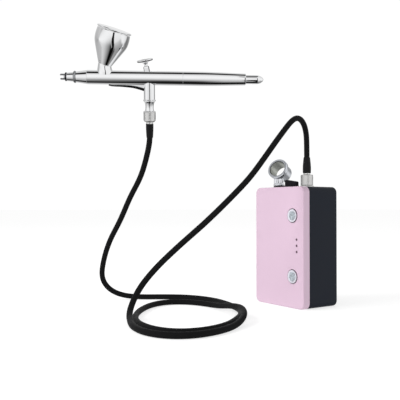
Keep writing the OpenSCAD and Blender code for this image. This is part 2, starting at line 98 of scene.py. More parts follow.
# ------------------------------------------------------------------ materials
class Nodes:
    """Short names for building node trees."""

    def __init__(self, tree):
        self.t = tree

    def new(self, kind, **attrs):
        n = self.t.nodes.new("ShaderNode" + kind)
        for k, v in attrs.items():
            setattr(n, k, v)
        return n

    def put(self, value, socket):
        if isinstance(value, bpy.types.NodeSocket):
            self.t.links.new(value, socket)
        else:
            socket.default_value = value

    def math(self, op, a, b=None, c=None, clamp=False):
        n = self.new("Math", operation=op, use_clamp=clamp)
        for v, s in zip((a, b, c), n.inputs):
            if v is not None:
                self.put(v, s)
        return n.outputs[0]

    def dot(self, a, vec):
        n = self.new("VectorMath", operation="DOT_PRODUCT")
        self.put(a, n.inputs[0])
        n.inputs[1].default_value = vec
        return n.outputs["Value"]

    def span(self, v, a, b, lo=0.0, hi=1.0, smooth=True):
        n = self.new("MapRange", interpolation_type="SMOOTHSTEP" if smooth else "LINEAR")
        self.put(v, n.inputs["Value"])
        for k, x in (("From Min", a), ("From Max", b), ("To Min", lo), ("To Max", hi)):
            n.inputs[k].default_value = x
        return n.outputs["Result"]

    def ramp(self, v, stops, interp="LINEAR"):
        n = self.new("ValToRGB")
        n.color_ramp.interpolation = interp
        els = n.color_ramp.elements
        while len(els) > 1:
            els.remove(els[-1])
        for i, (p, c) in enumerate(stops):
            e = els[0] if i == 0 else els.new(p)
            e.position = p
            c = (c, c, c) if isinstance(c, (int, float)) else c
            e.color = (*c, 1)
        self.put(v, n.inputs[0])
        return n.outputs["Color"]

    def noise(self, coords, scale, detail=3.0, rough=0.55, stretch=None):
        if stretch:
            mp = self.new("Mapping")
            self.put(coords, mp.inputs["Vector"])
            mp.inputs["Scale"].default_value = stretch
            coords = mp.outputs[0]
        n = self.new("TexNoise")
        self.put(coords, n.inputs["Vector"])
        n.inputs["Scale"].default_value = scale
        n.inputs["Detail"].default_value = detail
        n.inputs["Roughness"].default_value = rough
        return n.outputs[0]

    def bump(self, height, strength, distance, normal=None):
        n = self.new("Bump")
        n.inputs["Strength"].default_value = strength
        n.inputs["Distance"].default_value = distance
        self.put(height, n.inputs["Height"])
        if normal is not None:
            self.put(normal, n.inputs["Normal"])
        return n.outputs[0]


def shade(c, k):
    return tuple(min(1.0, max(0.0, x * k)) for x in c)


def blank(name):
    mt = bpy.data.materials.new(name)
    mt.use_nodes = True
    return mt, Nodes(mt.node_tree), mt.node_tree.nodes["Principled BSDF"].inputs


def surface(name, base, rough, metal=0.0, vary=0.05, blotch=120.0, rough_vary=0.05, grain=2600.0, bump=0.15,
            depth=0.00002, coat=0.0, coat_rough=0.1, spec=0.5, stretch=None, sheen=0.0):
    """A moulded, cast or turned finish: soft blotches in colour and gloss, fine grain in relief."""
    mt, g, p = blank(name)
    co = g.new("TexCoord").outputs["Object"]
    big = g.noise(co, blotch, 4.0, 0.6)
    fine = g.noise(co, grain, 2.0, 0.6, stretch)
    g.put(g.ramp(big, [(0.3, shade(base, 1 - vary)), (0.7, shade(base, 1 + vary))]), p["Base Color"])
    g.put(g.span(big, 0.3, 0.7, max(0.02, rough - rough_vary), rough + rough_vary, False), p["Roughness"])
    g.put(g.bump(fine, bump, depth), p["Normal"])
    p["Metallic"].default_value = metal
    p["Specular IOR Level"].default_value = spec
    p["Coat Weight"].default_value = coat
    p["Coat Roughness"].default_value = coat_rough
    p["Sheen Weight"].default_value = sheen
    return mt


def brushed(name, base, rough, axis, centre, count=900.0, bump=0.12):
    """A disc turned on a lathe: fine rings round an axis through centre."""
    mt, g, p = blank(name)
    co = g.new("TexCoord").outputs["Object"]
    mp = g.new("Mapping")
    g.put(co, mp.inputs["Vector"])
    mp.inputs["Location"].default_value = [-c for c in centre]
    flat = g.new("VectorMath", operation="MULTIPLY")
    g.put(mp.outputs[0], flat.inputs[0])
    flat.inputs[1].default_value = [0.0 if abs(a) > 0.5 else 1.0 for a in axis]
    dist = g.new("VectorMath", operation="LENGTH")
    g.put(flat.outputs[0], dist.inputs[0])
    r = g.math("MULTIPLY", dist.outputs["Value"], count)
    rings = g.new("TexNoise", noise_dimensions="1D")
    g.put(r, rings.inputs["W"])
    rings.inputs["Scale"].default_value = 5.0
    rings.inputs["Detail"].default_value = 2.0
    big = g.noise(co, 300.0, 3.0)
    dapple = g.noise(co, 620.0, 1.0)
    tone = g.math("ADD", g.math("MULTIPLY", rings.outputs[0], 0.3), g.math("MULTIPLY", dapple, 0.7))
    g.put(g.ramp(tone, [(0.36, shade(base, 0.62)), (0.64, shade(base, 1.34))]), p["Base Color"])
    g.put(g.span(big, 0.3, 0.7, rough - 0.04, rough + 0.06, False), p["Roughness"])
    g.put(g.bump(rings.outputs[0], bump, 0.00003), p["Normal"])
    p["Metallic"].default_value = 0.75
    p["Anisotropic"].default_value = 0.5
    return mt


def plated(name, base, rough, smudge=0.04):
    """Bright chrome plate: near mirror, with faint smudges and a whisper of polishing lines."""
    mt, g, p = blank(name)
    co = g.new("TexCoord").outputs["Object"]
    big = g.noise(co, 55.0, 5.0, 0.65)
    line = g.noise(co, 900.0, 2.0, 0.5, (1.0, 14.0, 14.0))
    g.put(g.ramp(big, [(0.35, shade(base, 0.97)), (0.7, base)]), p["Base Color"])
    g.put(g.span(big, 0.35, 0.75, rough, rough + smudge, False), p["Roughness"])
    g.put(g.bump(line, 0.015, 0.000004), p["Normal"])
    p["Metallic"].default_value = 1.0
    return mt


def braid(name, dark, light, turns, pitch):
    """Woven sleeve over a hose: two sets of threads crossing, laid out on the tube's own u and v."""
    mt, g, p = blank(name)
    uv = g.new("TexCoord").outputs["UV"]
    sep = g.new("SeparateXYZ")
    g.put(uv, sep.inputs[0])
    u = g.math("MULTIPLY", sep.outputs[0], math.pi * turns)
    v = g.math("MULTIPLY", sep.outputs[1], math.pi * pitch)
    a = g.math("ABSOLUTE", g.math("SINE", g.math("ADD", u, v)))
    b = g.math("ABSOLUTE", g.math("SINE", g.math("SUBTRACT", u, v)))
    h = g.math("MAXIMUM", g.math("POWER", a, 0.6), g.math("POWER", b, 0.6))
    low = g.math("MINIMUM", a, b)
    height = g.math("ADD", h, g.math("MULTIPLY", low, 0.35))
    co = g.new("TexCoord").outputs["Object"]
    big = g.noise(co, 260.0, 3.0, 0.6)
    tone = g.math("MULTIPLY", height, g.span(big, 0.3, 0.7, 0.75, 1.0, False))
    g.put(g.ramp(tone, [(0.35, dark), (1.15 / 1.35, light)]), p["Base Color"])
    g.put(g.span(big, 0.3, 0.7, 0.48, 0.62, False), p["Roughness"])
    g.put(g.bump(height, 0.55, 0.00012), p["Normal"])
    p["Specular IOR Level"].default_value = 0.05
    return mt


PINK = surface("cover_pink", (0.655, 0.483, 0.598), 0.42, vary=0.012, blotch=40, rough_vary=0.04, grain=3600, bump=0.10, depth=0.00002, spec=0.4, coat=0.06, coat_rough=0.25)
SHELL = surface("shell_charcoal", (0.0068, 0.0098, 0.0174), 0.46, vary=0.10, blotch=60, grain=3000, bump=0.14, depth=0.00003, spec=0.17)
CHROME = plated("chrome", (0.94, 0.945, 0.955), 0.03, 0.03)
SATIN = surface("fitting_nickel", (0.78, 0.778, 0.77), 0.36, 1.0, vary=0.05, blotch=260, rough_vary=0.06, grain=5200, bump=0.12, depth=0.00001)
# darker copy of the fitting nickel for the pump's nut: painted shade
SATIN_PUMP_SHADE = surface("fitting_nickel_pump_painted_shade", (0.695, 0.690, 0.682), 0.36, 1.0, vary=0.05, blotch=260, rough_vary=0.06, grain=5200, bump=0.12, depth=0.00001)
FERRULE = surface("ferrule_nickel", (0.86, 0.86, 0.85), 0.24, 1.0, vary=0.04, blotch=260, grain=5200, bump=0.08, depth=0.00001)
HOSE = braid("hose_black", (0.002, 0.002, 0.0022), (0.0085, 0.0085, 0.0090), 14, 11)
SLEEVE = surface("sleeve_black", (0.0055, 0.0055, 0.0060), 0.42, vary=0.16, blotch=160, grain=3800, bump=0.25, depth=0.00003, spec=0.16)
HOLDER_BLACK = surface("holder_black", (0.0105, 0.0098, 0.0128), 0.42, vary=0.14, blotch=120, grain=3000, bump=0.2, depth=0.00003, spec=0.10)
HOLDER_METAL = surface("holder_chrome", (0.77, 0.795, 0.845), 0.17, 1.0, vary=0.03, blotch=180, rough_vary=0.04, grain=2600, bump=0.05, depth=0.00001)
# lighter copy of the holder metal on the post: painted light
HOLDER_POST_LIGHT = surface("holder_post_painted_light", (0.90, 0.915, 0.955), 0.26, 1.0, vary=0.03, blotch=180, rough_vary=0.04, grain=2600, bump=0.05, depth=0.00001)
# darker, greener copy of the holder metal inside the bore: painted shade
HOLDER_BORE_SHADE = surface("holder_bore_painted_shade", (0.60, 0.62, 0.575), 0.36, 1.0, vary=0.06, blotch=180, rough_vary=0.05, grain=2600, bump=0.08, depth=0.00001)
# near-black copy of the holder metal in the groove behind the rim and on the lip at the mouth: painted shade
HOLDER_GROOVE_SHADE = surface("holder_groove_painted_shade", (0.045, 0.047, 0.060), 0.40, 1.0, vary=0.08, blotch=180, grain=2600, bump=0.08, depth=0.00001)
# near-black copy of the chrome for the finger rest's underside and the trigger's outlines: painted shade
CHROME_SHADE_OUTLINE = plated("chrome_painted_shade_outline", (0.050, 0.051, 0.054), 0.06, 0.03)
# darker copy of the chrome on the needle cap: painted shade
CHROME_SHADED_COPY = plated("needle_cap_chrome_painted_shade", (0.66, 0.665, 0.675), 0.03, 0.03)
# dark copy of the nickel on the needle cap's crown ring: painted shade
SHADE_RING = surface("needle_cap_ring_painted_shade", (0.085, 0.087, 0.092), 0.30, 1.0, vary=0.06, blotch=300, grain=4200, bump=0.08, depth=0.00001)
# darker copy of the chrome on the air cap's rounded front bead: painted shade
AIR_CAP_BEAD_SHADE = surface("air_cap_bead_painted_shade", (0.40, 0.41, 0.42), 0.28, 1.0, vary=0.05, blotch=300, grain=4200, bump=0.08, depth=0.00001)
LAMP = surface("lamp_smoke", (0.11, 0.055, 0.085), 0.18, vary=0.10, blotch=400, grain=5000, bump=0.05, depth=0.00001, coat=0.4)
SCREW = surface("screw_steel", (0.30, 0.30, 0.31), 0.30, 1.0, vary=0.08, blotch=500, grain=5000, bump=0.15, depth=0.00001)
BOARD = surface("board_green", (0.012, 0.085, 0.035), 0.38, vary=0.22, blotch=420, grain=3000, bump=0.2, depth=0.00003, coat=0.3)
SWITCH = surface("switch_black", (0.016, 0.016, 0.017), 0.40, vary=0.1, blotch=400, grain=4000)
SOCKET = surface("socket_steel", (0.62, 0.62, 0.63), 0.26, 1.0, vary=0.05, blotch=500, grain=5000, bump=0.1, depth=0.00001)
CELL = surface("cell_wrap", (0.030, 0.105, 0.30), 0.32, vary=0.06, blotch=90, grain=900, bump=0.12, depth=0.00005, coat=0.25)
TAB = surface("tab_nickel", (0.66, 0.65, 0.61), 0.32, 1.0, vary=0.06, blotch=400, grain=3000, bump=0.1, depth=0.00001)
INNER_BLACK = surface("inner_black", (0.020, 0.020, 0.022), 0.55, vary=0.12, blotch=150, grain=2400, bump=0.3, depth=0.00004)
MOTOR = surface("motor_steel", (0.52, 0.53, 0.54), 0.34, 1.0, vary=0.06, blotch=140, grain=900, bump=0.1, depth=0.00002, stretch=(8, 8, 1))
INNER_WHITE = surface("inner_white", (0.72, 0.72, 0.68), 0.48, vary=0.04, blotch=150, grain=2400, bump=0.2, depth=0.00003)
CUSHION = surface("cushion_rubber", (0.014, 0.014, 0.014), 0.75, vary=0.2, blotch=300, grain=1500, bump=0.5, depth=0.00008)
ARMATURE = surface("armature", (0.55, 0.52, 0.48), 0.34, 1.0, vary=0.1, blotch=300, grain=900, bump=0.2, depth=0.00003, stretch=(1, 1, 9))
DIAPHRAGM = surface("diaphragm_rubber", (0.018, 0.018, 0.019), 0.62, vary=0.15, blotch=200, grain=2000, bump=0.3, depth=0.00004)
SILICONE = surface("tube_silicone", (0.62, 0.66, 0.68), 0.35, vary=0.04, blotch=160, grain=1600, bump=0.1, depth=0.00003)
BRASS = surface("brass", (0.66, 0.47, 0.19), 0.24, 1.0, vary=0.07, blotch=300, grain=4200, bump=0.1, depth=0.00001)
PTFE = surface("seat_ptfe", (0.80, 0.80, 0.78), 0.5, vary=0.03, blotch=300, grain=3000)
SPRING = surface("spring_steel", (0.50, 0.50, 0.52), 0.25, 1.0, vary=0.06, blotch=500, grain=4000, bump=0.1, depth=0.00001)
BUTTON = {z: brushed(n, (0.630, 0.690, 0.755), 0.30, (0, 1, 0), (17 * MM, 0, z * MM)) for n, z in (("button_silver_a", 76), ("button_silver_b", 26))}
# dark mauve on the button's outer chamfer and wall: the painted shadow of the gap round the button
BUTTON_GAP_SHADE = surface("button_gap_painted_shade", (0.21, 0.145, 0.19), 0.45, 0.6, vary=0.06, blotch=500, grain=5000, bump=0.05, depth=0.00001)
# pale copy of the button metal on the rim: a painted highlight
BUTTON_RIM_HIGHLIGHT = surface("button_rim", (0.80, 0.79, 0.87), 0.36, 0.35, vary=0.09, blotch=500, grain=5000, bump=0.05, depth=0.00001)


# ------------------------------------------------------------------ mesh tools
def make(name, verts, faces, mat, matrix=HERE):
    me = bpy.data.meshes.new(name)
    me.from_pydata([tuple(v) for v in verts], [], [tuple(f) for f in faces])
    bm = bmesh.new()
    bm.from_mesh(me)
    bmesh.ops.recalc_face_normals(bm, faces=bm.faces)
    bm.to_mesh(me)
    bm.free()
    me.update()
    ob = bpy.data.objects.new(name, me)
    scene.collection.objects.link(ob)
    ob.matrix_world = matrix
    me.materials.append(mat)
    return ob


def tidy(ob, sharp=32.0, soften=True):
    """Merges doubled points, turns faces outwards, and marks the hard edges."""
    bm = bmesh.new()
    bm.from_mesh(ob.data)
    bmesh.ops.remove_doubles(bm, verts=bm.verts, dist=1.5e-6)
    bmesh.ops.dissolve_degenerate(bm, dist=1e-7, edges=bm.edges)
    bmesh.ops.recalc_face_normals(bm, faces=bm.faces)
    for f in bm.faces:
        f.smooth = True
        f.material_index = 0 if f.material_index >= len(ob.data.materials) else f.material_index
    for e in bm.edges:
        e.smooth = not (len(e.link_faces) == 2 and e.calc_face_angle(0.0) > rad(sharp))
    bm.to_mesh(ob.data)
    bm.free()
    ob.data.update()
    if soften and "soft_normals" not in ob.modifiers:
        w = ob.modifiers.new("soft_normals", "WEIGHTED_NORMAL")
        w.keep_sharp, w.weight = True, 50
    return ob


def bake(ob):
    """Puts the result of the modifiers into the mesh."""
    bpy.context.view_layer.update()
    dg = bpy.context.evaluated_depsgraph_get()
    me = bpy.data.meshes.new_from_object(ob.evaluated_get(dg), preserve_all_data_layers=True, depsgraph=dg)
    old = ob.data
    ob.modifiers.clear()
    ob.data = me
    me.name = old.name
    bpy.data.meshes.remove(old)
    return ob


def combine(ob, others, how="UNION"):
    for other in others:
        b = ob.modifiers.new("join", "BOOLEAN")
        b.operation, b.object, b.solver = how, other, "EXACT"
        bake(ob)
        me = other.data
        bpy.data.objects.remove(other)
        bpy.data.meshes.remove(me)
    return ob


def cut(ob, *others):
    return combine(ob, others, "DIFFERENCE")


def fillet(pts, n=5, closed=True):
    """A profile whose third numbers are corner radii, as plain points."""
    out, k = [], len(pts)
    for i, p in enumerate(pts):
        b = np.array(p[:2], float)
        if len(p) < 3 or p[2] <= 0 or (not closed and i in (0, k - 1)):
            out.append(tuple(b))
            continue
        a, c = np.array(pts[i - 1][:2], float), np.array(pts[(i + 1) % k][:2], float)
        u, w = a - b, c - b
        lu, lw = np.linalg.norm(u), np.linalg.norm(w)
        u, w = u / lu, w / lw
        half = math.acos(max(-1, min(1, float(u @ w)))) / 2
        if half > rad(89):
            out.append(tuple(b))
            continue
        t = min(p[2] / math.tan(half), 0.48 * lu, 0.48 * lw)
        r = t * math.tan(half)
        mid = (u + w) / np.linalg.norm(u + w)
        c0 = b + mid * r / math.sin(half)
        a0 = math.atan2(*(b + u * t - c0)[::-1])
        a1 = math.atan2(*(b + w * t - c0)[::-1])
        d = (a1 - a0 + math.pi) % (2 * math.pi) - math.pi
        for j in range(n + 1):
            q = a0 + d * j / n
            out.append((c0[0] + r * math.cos(q), c0[1] + r * math.sin(q)))
    return out


def spline(pts, k=6):
    """Smooth curve through 2D points."""
    p = [np.array(x, float) for x in pts]
    q = [2 * p[0] - p[1], *p, 2 * p[-1] - p[-2]]
    out = []
    for i in range(1, len(p)):
        a, b, c, d = q[i - 1:i + 3]
        for j in range(k):
            t = j / k
            out.append(tuple(0.5 * (2 * b + (c - a) * t + (2 * a - 5 * b + 4 * c - d) * t * t + (3 * b - a - 3 * c + d) * t ** 3)))
    return out + [tuple(p[-1])]


def lathe(name, pts, mat, matrix=HERE, axis="z", seg=96, closed=True, rim=None, n=5):
    """Turns a profile of (radius, along) in millimetres round an axis. rim(angle, radius, along) gives a worked surface."""
    prof = fillet(pts, n, closed)
    verts, rows = [], []
    for r, s in prof:
        ring = []
        for j in range(1 if r < 1e-6 else seg):
            q = 2 * math.pi * j / seg
            rr = r if rim is None or r < 1e-6 else rim(q, r, s)
            a, b = rr * math.cos(q), rr * math.sin(q)
            ring.append(len(verts))
            verts.append([c * MM for c in ((a, b, s) if axis == "z" else (s, a, b) if axis == "x" else (a, -s, b))])
        rows.append(ring)
    faces = []
    pairs = list(zip(rows, rows[1:])) + ([(rows[-1], rows[0])] if closed else [])
    for p, q in pairs:
        if len(p) == 1 and len(q) == 1:
            continue
        for j in range(seg):
            k = (j + 1) % seg
            f = ([p[0], q[k], q[j]] if len(p) == 1 else [p[j], p[k], q[0]] if len(q) == 1 else [p[j], p[k], q[k], q[j]])
            faces.append(f)
    return make(name, verts, faces, mat, matrix)


def round_rect(w, h, r, n=8):
    out = []
    for cx, cy, a in ((w / 2 - r, h / 2 - r, 0), (-w / 2 + r, h / 2 - r, 90), (-w / 2 + r, -h / 2 + r, 180), (w / 2 - r, -h / 2 + r, 270)):
        for j in range(n + 1):
            q = rad(a + 90 * j / n)
            out.append((cx + r * math.cos(q), cy + r * math.sin(q)))
    return out


def loft(name, loops, mat, matrix=HERE, ring=False):
    """Joins loops of equal count, given in millimetres, into a closed skin."""
    verts = [[c * MM for c in v] for lp in loops for v in lp]
    k, n = len(loops[0]), len(loops)
    faces = []
    for i in range(n if ring else n - 1):
        for j in range(k):
            a, b = i * k, ((i + 1) % n) * k
            faces.append([a + j, a + (j + 1) % k, b + (j + 1) % k, b + j])
    if not ring:
        faces += [list(range(k))[::-1], [(n - 1) * k + j for j in range(k)]]
    return make(name, verts, faces, mat, matrix)


def plate(name, w, h, r, steps, mat, matrix=HERE, plane="xy", n=8):
    """Rounded-rectangle block. steps are (along, inset) pairs."""
    loops = []
    for s, d in steps:
        lp = round_rect(w - 2 * d, h - 2 * d, max(r - d, 0.12), n)
        loops.append([(a, b, s) if plane == "xy" else (a, s, b) for a, b in lp])
    return loft(name, loops, mat, matrix)


def quarter(r, n=5):
    """(along, inset) steps of a rounded edge from the wall to the face."""
    return [(r * math.sin(rad(90 * j / n)), r * (1 - math.cos(rad(90 * j / n)))) for j in range(n + 1)]


def soft_block(z0, z1, low, high, n=4):
    """Steps of a block with rounded lower and upper edges."""
    a = [(z0 + low - s, d) for s, d in reversed(quarter(low, n))] if low else [(z0, 0)]
    b = [(z1 - high + s, d) for s, d in quarter(high, n)] if high else [(z1, 0)]
    return a + b


def rod(name, r, a, b, mat, axis="z", seg=48, matrix=HERE):
    return lathe(name, [(0, a), (r, a), (r, b), (0, b)], mat, matrix, axis, seg, closed=False)


def show(ob, body, nodes, sharp=32.0):
    tidy(ob, sharp)
    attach(ob, body)
    if nodes:
        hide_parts(*nodes)
    return ob


# ------------------------------------------------------------------ air hose
ROUTE = [(14, 0, 118.1), (14, 0, 127), (14.4, -0.5, 135), (16.3, -2.6, 143.5), (19.2, -7.4, 150.5), (22.6, -14.4, 154.7), (25.5, -22.3, 155.5), (27.5, -30, 151.6),
         (28.3, -38.7, 143.2), (28.2, -47.8, 133.2), (27.5, -57.5, 121.5), (25, -70.5, 105.5), (19.5, -84.5, 90), (9.5, -100, 72), (-2, -118, 53), (-10, -131.5, 38),
         (-13.5, -143.3, 24), (-13, -151, 12), (-6, -157, 5.5), (6.5, -162.5, 2.6), (23, -168.5, 2.3), (42, -170, 2.3), (58, -163.5, 2.3), (66.5, -149, 2.3), (65.5, -129, 2.3),
         (57, -108, 2.8), (44, -91, 5.6), (27, -80, 7.4), (6, -75, 5.8), (-15, -72, 2.8), (-34, -74, 2.3), (-49.5, -82.5, 2.3), (-56, -96, 2.3), (-51, -112.5, 2.3),
         (-37.5, -129, 2.3), (-19.5, -144, 2.3), (0, -155, 2.3), (20, -161, 2.3), (40, -160.5, 2.3), (54, -152, 2.3), (58.5, -135, 2.3), (53, -114, 2.3), (40, -95, 2.3),
         (24, -78, 2.3), (5, -66, 2.3), (-17, -59.5, 2.3), (-39, -56.5, 2.3), (-59, -60, 2.3), (-74, -69, 2.3), (-86, -84, 2.3), (-95, -100, 2.5), (-103, -113, 4),
         (-108, -124, 9.5), (-109, -131, 20), (-104, -132, 35), (-94, -131, 53), (-81, -127, 72), (-69, -124, 91), (-57, -120.5, 108), (-48.5, -119.5, 124)]
ROUTE += [tuple(c / MM for c in (BRUSH @ (Vector(p) * MM))) for p in ((70.1, 0, -50), (70.1, 0, -41.2))]


def along(p, step):
    s = np.concatenate([[0], np.cumsum(np.linalg.norm(np.diff(p, axis=0), axis=1))])
    t = np.linspace(0, s[-1], max(2, int(round(s[-1] / step)) + 1))
    return np.stack([np.interp(t, s, p[:, i]) for i in range(3)], 1)


def easy_curve(pts, sigma=4.5, step=0.5, final=1.2):
    """One smooth line through the points, with the small wobbles between them eased out."""
    p = np.array(pts, float)
    q = np.vstack([2 * p[0] - p[1], p, 2 * p[-1] - p[-2]])
    out = []
    for i in range(1, len(p)):
        a, b, c, d = q[i - 1:i + 3]
        for t in np.arange(24) / 24:
            out.append(0.5 * (2 * b + (c - a) * t + (2 * a - 5 * b + 4 * c - d) * t * t + (3 * b - a - 3 * c + d) * t ** 3))
    p = along(np.array(out + [p[-1]]), step)
    k = int(4 * sigma / step)
    head = p[0] + (p[0] - p[4]) / 4 * np.arange(k, 0, -1)[:, None]
    tail = p[-1] + (p[-1] - p[-5]) / 4 * np.arange(1, k + 1)[:, None]
    w = np.exp(-0.5 * (np.arange(-k, k + 1) * step / sigma) ** 2)
    w /= w.sum()
    pad = np.vstack([head, p, tail])
    s = np.stack([np.convolve(pad[:, i], w, "valid") for i in range(3)], 1)
    s[:, 2] = np.maximum(s[:, 2], 2.3)
    return along(s, final)


def tube(name, path, r, sides, mat):
    """Round tube along a path in millimetres, with u round it and v along it in turns of its girth."""
    t = np.gradient(path, axis=0)
    t /= np.linalg.norm(t, axis=1)[:, None]
    a = np.cross(t[0], (0.3, 0.9, 0.1))
    a /= np.linalg.norm(a)
    verts = []
    for i, p in enumerate(path):
        a = a - (a @ t[i]) * t[i]
        a /= np.linalg.norm(a)
        b = np.cross(t[i], a)
        for j in range(sides):
            q = 2 * math.pi * j / sides
            verts.append((p + r * (a * math.cos(q) + b * math.sin(q))) * MM)
    n = len(path)
    faces, uvs = [], []
    s = np.concatenate([[0], np.cumsum(np.linalg.norm(np.diff(path, axis=0), axis=1))]) / (2 * math.pi * r)
    for i in range(n - 1):
        for j in range(sides):
            k = (j + 1) % sides
            faces.append((i * sides + j, i * sides + k, (i + 1) * sides + k, (i + 1) * sides + j))
            uvs += [(j / sides, s[i]), ((j + 1) / sides, s[i]), ((j + 1) / sides, s[i + 1]), (j / sides, s[i + 1])]
    for base, order in ((0, range(sides - 1, -1, -1)), ((n - 1) * sides, range(sides))):
        faces.append([base + j for j in order])
        uvs += [(0.5, 0.0)] * sides
    ob = make(name, verts, faces, mat)
    layer = ob.data.uv_layers.new(name="UVMap")
    layer.data.foreach_set("uv", np.array(uvs, np.float32).ravel())
    for f in ob.data.polygons:
        f.use_smooth = True
    return ob


HOSE_PATH = easy_curve(ROUTE)
hose = tube("air_hose", HOSE_PATH, 2.3, 24, HOSE)
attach(hose, "compressor")
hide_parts("hose_run_pump", "hose_coil", "hose_run_brush")


def diamond(r0, count, depth, a, b):
    """Diamond knurl between a and b along the axis."""
    def f(q, r, s):
        if r < r0 - 0.02 or not a < s < b:
            return r
        u, v = count * q / 2, count * s / (2 * r0)
        edge = min(1.0, min(s - a, b - s) / 0.35)
        return r - depth * edge * (1 - min(abs(math.sin(u + v)), abs(math.sin(u - v))) ** 0.8)
    return f


def rows(r, a, b, step):
    n = max(2, int(round(abs(b - a) / step)))
    return [(r, a + (b - a) * i / n) for i in range(n + 1)]


# the pump's nut wears the darker copy of the nickel: painted shade
nut_pump = lathe("hose_nut_pump_knurled", [(2.95, 101.3, 0.1), (4.8, 101.3, 0.25), (5.15, 101.7)] + rows(5.15, 101.95, 109.6, 0.2) + [(5.15, 109.85), (4.75, 110.3, 0.2), (2.35, 110.3, 0.1), (2.35, 108.65), (2.95, 108.65)],
                 SATIN_PUMP_SHADE, OUTLET, seg=176, rim=diamond(5.15, 44, 0.15, 101.9, 109.7))
show(nut_pump, "compressor", ["hose_nut_pump"], 50)
tail_pump = lathe("hose_tail_pump_barb", [(1.0, 108.05), (2.85, 108.05), (2.85, 108.6), (2.2, 108.6), (2.2, 110.45), (2.95, 110.45, 0.25), (2.95, 111.65, 0.25), (2.2, 111.65), (2.2, 118), (1.0, 118)], FERRULE, OUTLET)
show(tail_pump, "compressor", ["hose_tail_pump"])
sleeve_pump = lathe("hose_sleeve_pump_boot", [(2.25, 111.7), (3.3, 111.7, 0.3)] + spline([(3.4, 112.8), (3.45, 115.6), (3.3, 118.9), (2.98, 122.3), (2.7, 125)], 5) + [(2.36, 125), (2.36, 118.05), (2.25, 118.05)], SLEEVE, OUTLET)
show(sleeve_pump, "compressor", ["hose_sleeve_pump"])

nut_brush = lathe("hose_nut_brush_knurled", [(2.86, -26.1, 0.1), (4.55, -26.1, 0.25), (4.9, -26.5)] + rows(4.9, -26.75, -33.1, 0.2) + [(4.9, -33.4), (4.1, -34.6, 0.2), (2.35, -34.6, 0.1), (2.35, -33.85), (2.86, -33.85)],
                  SATIN, VALVE, seg=168, rim=diamond(4.9, 42, 0.15, -33.25, -26.7))
show(nut_brush, "compressor", ["hose_nut_brush"], 50)
tail_brush = lathe("hose_tail_brush_barb", [(1.0, -33.5), (2.8, -33.5), (2.8, -33.8), (2.2, -33.8), (2.2, -34.7), (2.8, -34.7, 0.25), (2.8, -36.1, 0.25), (2.2, -36.1), (2.2, -41), (1.0, -41)], FERRULE, VALVE)
show(tail_brush, "compressor", ["hose_tail_brush"])
sleeve_brush = lathe("hose_sleeve_brush_boot", [(2.25, -36.2), (3.05, -36.2, 0.3)] + spline([(3.05, -37.2), (3.05, -39.4), (2.95, -42.6), (2.8, -45.4), (2.66, -47.5)], 5) + [(2.36, -47.5), (2.36, -41.1), (2.25, -41.1)], SLEEVE, VALVE)
show(sleeve_brush, "compressor", ["hose_sleeve_brush"])


# ------------------------------------------------------------------ case
def case_loop(y, inset, w=60.0, h=100.0, r=5.0):
    return [(a, y, b + 50.0) for a, b in round_rect(w - 2 * inset, h - 2 * inset, max(r - inset, 0.4), 10)]


FRONT, SEAM, BACK = -19.5, -12.55, 19.5
er = 1.1
cover = loft("front_cover_skin", [case_loop(-17.5, 2.0), case_loop(SEAM, 2.0), case_loop(SEAM, 0.22), case_loop(SEAM - 0.08, 0.08), case_loop(SEAM - 0.22, 0)]
             + [case_loop(FRONT + er - s, d) for s, d in quarter(er, 7)], PINK)
for z in (76, 26):
    cut(cover, lathe("c", [(0, -4), (5.95, -4), (5.95, -0.28), (6.03, -0.1), (6.25, 0.06), (6.25, 2), (0, 2)], PINK, Matrix.Translation((17 * MM, FRONT * MM, z * MM)), "y", 96, False))
for z in (56.5, 51.5, 46.5):
    cut(cover, lathe("c", [(0, -4), (1.05, -4), (1.05, -0.1), (1.17, 0.04), (1.17, 2), (0, 2)], PINK, Matrix.Translation((22 * MM, FRONT * MM, z * MM)), "y", 40, False))
lip = [case_loop(-18.0, 2.1), case_loop(-10.6, 2.1), case_loop(-10.5, 2.2), case_loop(-10.5, 3.2), case_loop(-18.0, 3.2)]
combine(cover, [loft("lip", lip, PINK, ring=True)])
for x, z in ((-25.4, 4.6), (25.4, 4.6), (-25.4, 95.4), (25.4, 95.4)):
    combine(cover, [rod("post", 2.2, 9.6, 18.5, PINK, "y", 40, Matrix.Translation((x * MM, 0, z * MM)))])
for z in (40, 88):
    combine(cover, [rod("post", 2.3, 10.95, 18.5, PINK, "y", 40, Matrix.Translation((7 * MM, 0, z * MM)))])
show(cover, "compressor", ["front_cover"], 38)

SEAM = -12.5
er = 1.6
shell = loft("rear_shell_skin", [case_loop(17.5, 2.0), case_loop(SEAM, 2.0), case_loop(SEAM, 0.22), case_loop(SEAM + 0.08, 0.08), case_loop(SEAM + 0.22, 0)]
             + [case_loop(BACK - er + s, d) for s, d in quarter(er, 7)], SHELL)
for x, z in ((-25.4, 4.6), (25.4, 4.6), (-25.4, 95.4), (25.4, 95.4)):
    combine(shell, [rod("post", 2.3, -18.0, 9.5, SHELL, "y", 40, Matrix.Translation((x * MM, 0, z * MM)))])
    cut(shell, lathe("c", [(0, -9), (1.2, -9), (1.2, 17.9), (2.0, 17.9), (2.0, 19.25), (2.25, 19.55), (2.25, 21), (0, 21)], SHELL,
                     Matrix.Translation((x * MM, 0, z * MM)) @ Matrix.Rotation(math.pi, 4, "Z"), "y", 56, False))
cut(shell, lathe("c", [(0, 96), (3.5, 96), (3.5, 99.8), (3.75, 100.05), (3.75, 102), (0, 102)], SHELL, OUTLET, "z", 64, False))
cut(shell, rod("c", 1.6, 96, 102, SHELL, "z", 40, Matrix.Translation((-17 * MM, -4 * MM, 0))))


